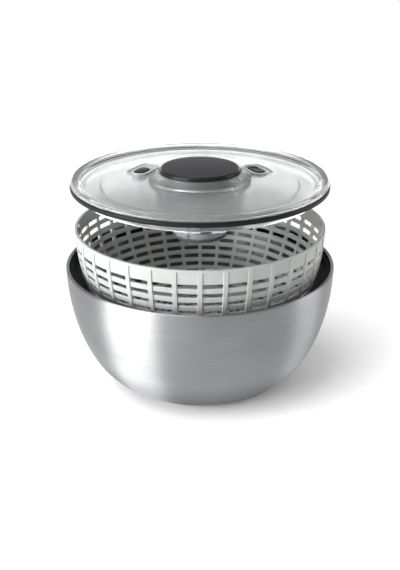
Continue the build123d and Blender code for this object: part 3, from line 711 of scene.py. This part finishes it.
def make_basket():
    """Basket, and the hub in the middle of its floor."""
    def build(work):
        basket_wall(work)
        basket_floor(work)
        basket_lugs(work)
    basket = new_object("basket_body", build, 35)
    apply_modifier(basket, "BEVEL", width=EDGE_BEVEL, segments=2, limit_method="ANGLE",
                   angle_limit=math.radians(40))
    dress(basket, BASKET, RIB)
    stand_for(basket, "basket")
    hub_top = BASKET_Z + HUB_HEIGHT
    outline = [(HUB_BORE, BASKET_Z), (HUB_R, BASKET_Z), (HUB_R, hub_top), (HUB_BORE, hub_top)]
    hub = lathe("basket_hub", softened(outline, 0.5 * MM), 120)
    dress(hub, BASKET)
    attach(hub, "basket_body")


# Lid and turntable

# The turntable's dogs reach this far from the axis, in millimetres as lid_point takes them.
DOG_REACH = 119.4
# Faces of the turntable nearer to the axis than this belong to its darker cup.
CUP_R = 43.5 * MM
SCREW_HEAD_R = 2.4 * MM
SCREW_HOLE_R = 1.3 * MM
SCREW_END_GAP = 0.3 * MM
# Each well's hole is smaller than its bezel by this much, so that the bezel's lip covers its edge.
BEZEL_COVERS = 2.4 * MM
GASKET_WIDTH = 5.9 * MM


def lid_point(radius, height):
    """Point of the lid, given in millimetres from the axis and from the gasket's underside."""
    return (radius * MM, LID_Z + height * MM)


def lid_outline(*corners):
    """Outline through points of the lid, each given as lid_point takes it."""
    return [lid_point(radius, height) for radius, height in corners]


def cut_wells(cover):
    """Oval holes in the cover for the two wells."""
    for node in ("brake_bezel", "lock_bezel"):
        low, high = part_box(node)
        middle = (low + high) / 2
        angle = math.atan2(middle.y, middle.x)
        spread_x = high.x - low.x
        spread_y = high.y - low.y
        across, along = abs(math.sin(angle)), abs(math.cos(angle))
        # A slot of straight length s and width w spans s * across + w by s * along + w.
        straight = (spread_x - spread_y) / (across - along)
        width = spread_x - straight * across
        width -= BEZEL_COVERS
        through = [(0, LID_Z - 20 * MM), (0, COVER_TOP + 20 * MM)]
        cutter = oval_loft("cutter", straight + width, width, through)
        place_control(cutter, node)
        cut(cover, cutter)


def drill_screw_holes(cover):
    """Blind holes under the cover for the housing's screws."""
    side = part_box("housing_screws")[1].x - SCREW_HEAD_R
    high = high_of("housing_screws") + SCREW_END_GAP
    outline = [(0, LID_Z), (SCREW_HOLE_R, LID_Z), (SCREW_HOLE_R, high), (0, high)]
    for x in (-side, side):
        for y in (-side, side):
            drill = lathe("drill", outline, 24, closed=False)
            drill.data.transform(Matrix.Translation((x, y, 0)))
            cut(cover, drill)


def make_cover():
    """Clear cover: stepped collar round the knob, shallow dish, ridged flange and the rail in the seal."""
    top = (COVER_TOP - LID_Z) / MM
    outline = lid_outline(
        (39.6, 3.3), (39.6, top), (41.6, top), (41.6, top - 1.6), (42.4, top - 1.7), (42.4, top - 3.2),
        (43.2, top - 3.3), (43.2, top - 4.9), (44.8, top - 5.0), (44.8, 7.4), (48.0, 7.4), (49.2, 6.3),
        (78.0, 6.1), (108.0, 5.2), (114.0, 5.7), (117.4, 8.6), (119.5, 9.4), (122.5, 9.4), (124.4, 8.0),
        (124.4, 7.0), (123.8, 6.8), (123.8, 6.4), (124.6, 6.2), (124.6, 4.7), (119.7, 4.7),
        (119.6, 0.6), (117.7, 0.6), (117.7, 4.2), (112.0, 3.2), (108.0, 3.0), (78.0, 3.9), (50.0, 4.1),
        (44.8, 3.3),
    )
    cover = lathe("lid_cover_shell", softened(outline, 0.5 * MM, 2), 300, sharp=60)
    cut_wells(cover)
    drill_screw_holes(cover)
    stand_for(cover, "lid_cover", CLEAR)


def make_gasket():
    """Black seal round the cover's edge."""
    inner = GASKET_R - GASKET_WIDTH
    high = high_of("lid_gasket")
    outline = [(inner, LID_Z), (GASKET_R, LID_Z), (GASKET_R, high), (inner, high)]
    stand_for(lathe("lid_gasket_ring", softened(outline, 1.4 * MM, 5), 320), "lid_gasket", RUBBER)


def make_turntable():
    """Frosted disc with a darker cup and skirt in its middle, and four dogs under its edge."""
    outline = lid_outline(
        (10.0, -41.5), (13.0, -41.5), (13.0, -36.5), (22.0, -36.5), (22.0, -49.6), (27.0, -49.6),
        (27.0, -36.5), (42.8, -36.5), (42.8, -8.5), (94.0, -8.5), (97.0, -0.8), (111.2, -0.8),
        (112.8, -7.5), (114.4, -7.5), (116.0, -0.8), (114.4, 0.8), (95.5, 0.8), (92.5, -7.0),
        (41.0, -7.0), (41.0, -34.5), (10.0, -34.5),
    )
    inner, low = lid_point(112.8, -7.5)
    outer, high = lid_point(DOG_REACH, -3.75)

    def build(work):
        for face in spin_profile(work, softened(outline, 0.6 * MM, 2), 300):
            middle = face.calc_center_median()
            face.material_index = 1 if math.hypot(middle.x, middle.y) < CUP_R else 0
        for dog in range(LUGS):
            ring_sector(work, inner, outer, low, high, 360 * dog / LUGS - LUG_ANGLE, LUG_ANGLE)
    table = new_object("turntable_disc", build)
    dress(table, FROST, CUP)
    stand_for(table, "turntable")


def make_knob():
    """Pump knob: a cap with a rounded edge, and a crowned grip let into its top."""
    wall = 2.2 * MM
    crown = 2.4 * MM
    seat = radius_of("knob_grip")
    seat_z = KNOB_TOP - 1.2 * MM
    roof = KNOB_TOP - 3.4 * MM
    outline = [(KNOB_R - wall, KNOB_LOW), (KNOB_R, KNOB_LOW)]
    outline += arc((KNOB_R - crown, KNOB_TOP - crown), crown, 0, 90, 10)
    outline += [(seat, KNOB_TOP), (seat, seat_z), (0, seat_z), (0, roof), (KNOB_R - wall, roof)]
    stand_for(lathe("knob_shell", outline, 240, closed=True, sharp=35), "knob_cap", KNOB)
    rise = high_of("knob_grip") - KNOB_TOP
    pad = [(0, seat_z), (seat, seat_z)]
    steps = 16
    for step in range(steps + 1):
        out = 1 - step / steps
        pad.append((seat * out, KNOB_TOP + rise * (1 - out ** 2)))
    stand_for(lathe("knob_grip_pad", pad, 240, closed=False, sharp=50), "knob_grip", GRIP)


# Controls: drawn about the origin with their long side along X, and placed by their CAD nodes

BUTTON_SIZE = (20.0 * MM, 12.4 * MM)
BUTTON_SHIFT = 6.2 * MM
BUTTON_EDGE = 1.6 * MM
BUTTON_HEIGHT = 3.4 * MM
TAIL_SIZE = (32.4 * MM, 12.2 * MM)
TAIL_DROP = 1.3 * MM
STEM_R = 2.5 * MM
SLIDER_SIZE = (25.0 * MM, 11.8 * MM)
SLIDER_EDGE = 1.0 * MM
SLIDER_HEIGHT = 4.6 * MM
GROOVE_PLACES = (-3.0 * MM, 0.0 * MM, 3.0 * MM)
GROOVE_SIZE = (1.2 * MM, 7.1 * MM, 0.45 * MM)
NECK_SIZE = (6.0 * MM, 5.0 * MM)


def add_to_control(piece, body, material):
    """An extra piece of a control, which stands for no CAD node."""
    dress(piece, material)
    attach(piece, body)


def domed_levels(base, high, edge, steps=6):
    """Levels of an oval pad whose top edge is rounded."""
    levels = [(0, base), (0, high - edge)]
    for step in range(1, steps + 1):
        turn = math.radians(90 / steps * step)
        levels.append((edge * (1 - math.cos(turn)), high - edge * (1 - math.sin(turn))))
    return levels


def make_brake_button():
    """Black domed button with a paler tail beside it, on a stem that reaches down to the shoe."""
    high = high_of("brake_button")
    base = high - BUTTON_HEIGHT
    button = oval_loft("brake_button_cap", *BUTTON_SIZE, domed_levels(base, high, BUTTON_EDGE))
    button.data.transform(Matrix.Translation((BUTTON_SHIFT, 0, 0)))
    place_control(button, "brake_button")
    stand_for(button, "brake_button", KNOB)
    shelf = high - TAIL_DROP
    levels = [(0, base), (0, shelf - 0.5 * MM), (0.15 * MM, shelf - 0.15 * MM), (0.5 * MM, shelf)]
    tail = oval_loft("brake_button_tail", *TAIL_SIZE, levels)
    place_control(tail, "brake_button")
    add_to_control(tail, "brake_body", WELL)
    foot = high_of("brake_shoe")
    outline = softened([(0, foot), (STEM_R, foot), (STEM_R, base), (0, base)], 0.3 * MM, 2, closed=False)
    stem = lathe("brake_button_stem", outline, 48, closed=False)
    place_control(stem, "brake_button")
    add_to_control(stem, "brake_body", KNOB)


def groove_cutter(place, top):
    """Bar that cuts one thumb groove across the slider."""
    width, length, depth = GROOVE_SIZE

    def build(work):
        bmesh.ops.create_cube(work, size=1.0)
        bmesh.ops.scale(work, vec=(width, length, 2 * depth), verts=work.verts)
        bmesh.ops.translate(work, vec=(place, 0, top), verts=work.verts)
    return new_object("groove", build)


def make_lock_slider():
    """Black oval slider with three thumb grooves, on a neck that reaches down to the latch."""
    high = high_of("lock_slider")
    base = high - SLIDER_HEIGHT
    slider = oval_loft("lock_slider_pad", *SLIDER_SIZE, domed_levels(base, high, SLIDER_EDGE))
    for place in GROOVE_PLACES:
        cut(slider, groove_cutter(place, high))
    place_control(slider, "lock_slider")
    stand_for(slider, "lock_slider", KNOB)
    neck = oval_loft("lock_slider_neck", *NECK_SIZE, [(0, high_of("lock_latch")), (0, base)])
    place_control(neck, "lock_slider")
    add_to_control(neck, "lock_body", KNOB)


# Springs

RETURN_COIL_R = 23.0 * MM
RETURN_WIRE_R = 0.5 * MM
RETURN_TURNS = 6
BRAKE_COIL_R = 4.2 * MM
BRAKE_WIRE_R = 0.3 * MM
BRAKE_TURNS = 2.5


def make_return_spring():
    """Coil that lifts the knob, drawn pressed short because the knob is locked down at rest."""
    low, high = low_of("return_spring"), high_of("return_spring")
    spring = coil("return_spring_coil", RETURN_COIL_R, RETURN_WIRE_R, RETURN_TURNS, low, high)
    stand_for(spring, "return_spring", BRIGHT)


def make_brake_spring():
    """Coil under the brake button, drawn at one fixed length; the real one shortens as the button goes
    down.
    """
    low, high = low_of("brake_spring"), high_of("brake_spring")
    spring = coil("brake_spring_coil", BRAKE_COIL_R, BRAKE_WIRE_R, BRAKE_TURNS, low, high)
    place_control(spring, "brake_button")
    stand_for(spring, "brake_spring", BRIGHT)
    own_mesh(spring)


# CAD nodes that are shown as they are

CAD_LOOKS = {
    FOOT: ("base_ring",),
    POST: ("pivot_post", "basket_bearing"),
    GREY: ("pivot_tip", "bearing_clip", "ratchet_ring", "pawl_carrier", "drive_nut", "lock_latch"),
    HOUSING: ("mechanism_housing", "ratchet_cover", "knob_plunger"),
    WELL: ("brake_bezel", "lock_bezel"),
    BRIGHT: ("housing_screws", "ratchet_screws", "turntable_clip"),
    SHAFT: ("drive_shaft",),
    RUBBER: ("brake_shoe",),
}


def dress_cad_nodes():
    """Procedural materials on the CAD nodes that stay as they are."""
    for material, names in CAD_LOOKS.items():
        for name in names:
            dress(NODES[name], material)


# Stage

def make_floor():
    """Pale floor, large enough to fill every view."""
    def build(work):
        half = 12.0
        corners = ((-half, -half), (half, -half), (half, half), (-half, half))
        work.faces.new([work.verts.new((x, y, 0)) for x, y in corners])
    floor = new_object("floor", build)
    look = Look("floor_paper", (0.93, 0.93, 0.93), 0.9)
    paper = look.noise(60, 2.0)
    look.link(look.tint(paper, (0.925, 0.925, 0.925), (0.935, 0.935, 0.935)), look.input("Base Color"))
    dress(floor, look.material)


def add_camera():
    """Camera that looks down on the spinner from in front of it."""
    tilt = 23.9
    camera = bpy.data.objects.new("camera", bpy.data.cameras.new("camera"))
    bpy.context.scene.collection.objects.link(camera)
    camera.location = (0.0, -0.80, 0.45)
    camera.rotation_euler = (math.radians(90 - tilt), 0, 0)
    camera.data.lens = 54.0
    camera.data.sensor_width = 36.0
    bpy.context.scene.camera = camera


def area_light(name, place, target, size, power):
    """Rectangular soft light aimed at a point."""
    data = bpy.data.lights.new(name, "AREA")
    data.shape = "RECTANGLE"
    data.size, data.size_y = size
    data.energy = power
    light = bpy.data.objects.new(name, data)
    bpy.context.scene.collection.objects.link(light)
    light.location = place
    light.rotation_euler = (Vector(target) - Vector(place)).to_track_quat("-Z", "Y").to_euler()
    light.visible_camera = False


def set_background():
    """Even white light all round, and a white backdrop behind the floor."""
    world = bpy.data.worlds.new("studio")
    bpy.context.scene.world = world
    world.use_nodes = True
    tree = world.node_tree
    sky = tree.nodes["Background"]
    sky.inputs["Color"].default_value = (1.0, 1.0, 1.0, 1.0)
    sky.inputs["Strength"].default_value = 0.54
    backdrop = tree.nodes.new("ShaderNodeBackground")
    backdrop.inputs["Color"].default_value = (1.0, 1.0, 1.0, 1.0)
    seen = tree.nodes.new("ShaderNodeLightPath")
    mix = tree.nodes.new("ShaderNodeMixShader")
    tree.links.new(seen.outputs["Is Camera Ray"], mix.inputs["Fac"])
    tree.links.new(sky.outputs["Background"], mix.inputs[1])
    tree.links.new(backdrop.outputs["Background"], mix.inputs[2])
    tree.links.new(mix.outputs["Shader"], tree.nodes["World Output"].inputs["Surface"])
    bpy.context.scene.view_settings.view_transform = "Standard"


def add_lights():
    """Large softbox at the left, weaker ones at the right and behind, and a wide soft sun."""
    centre = (0, 0, 0.10)
    area_light("softbox_left", (-1.09, -0.71, 0.36), centre, (1.04, 0.62), 33)
    area_light("softbox_right", (1.25, 0.10, 0.40), centre, (0.6, 0.7), 5)
    area_light("back", (0.0, 1.7, 0.17), centre, (2.6, 0.30), 9)
    sun = bpy.data.lights.new("overhead", "SUN")
    sun.energy = 1.9
    sun.angle = math.radians(45)
    overhead = bpy.data.objects.new("overhead", sun)
    overhead.rotation_euler = (math.radians(8), math.radians(-22), 0)
    bpy.context.scene.collection.objects.link(overhead)


make_bowl()
make_rim_seat()
make_basket()
make_cover()
make_gasket()
make_turntable()
make_knob()
make_brake_button()
make_lock_slider()
make_return_spring()
make_brake_spring()
dress_cad_nodes()
make_floor()
add_camera()
add_lights()
set_background()
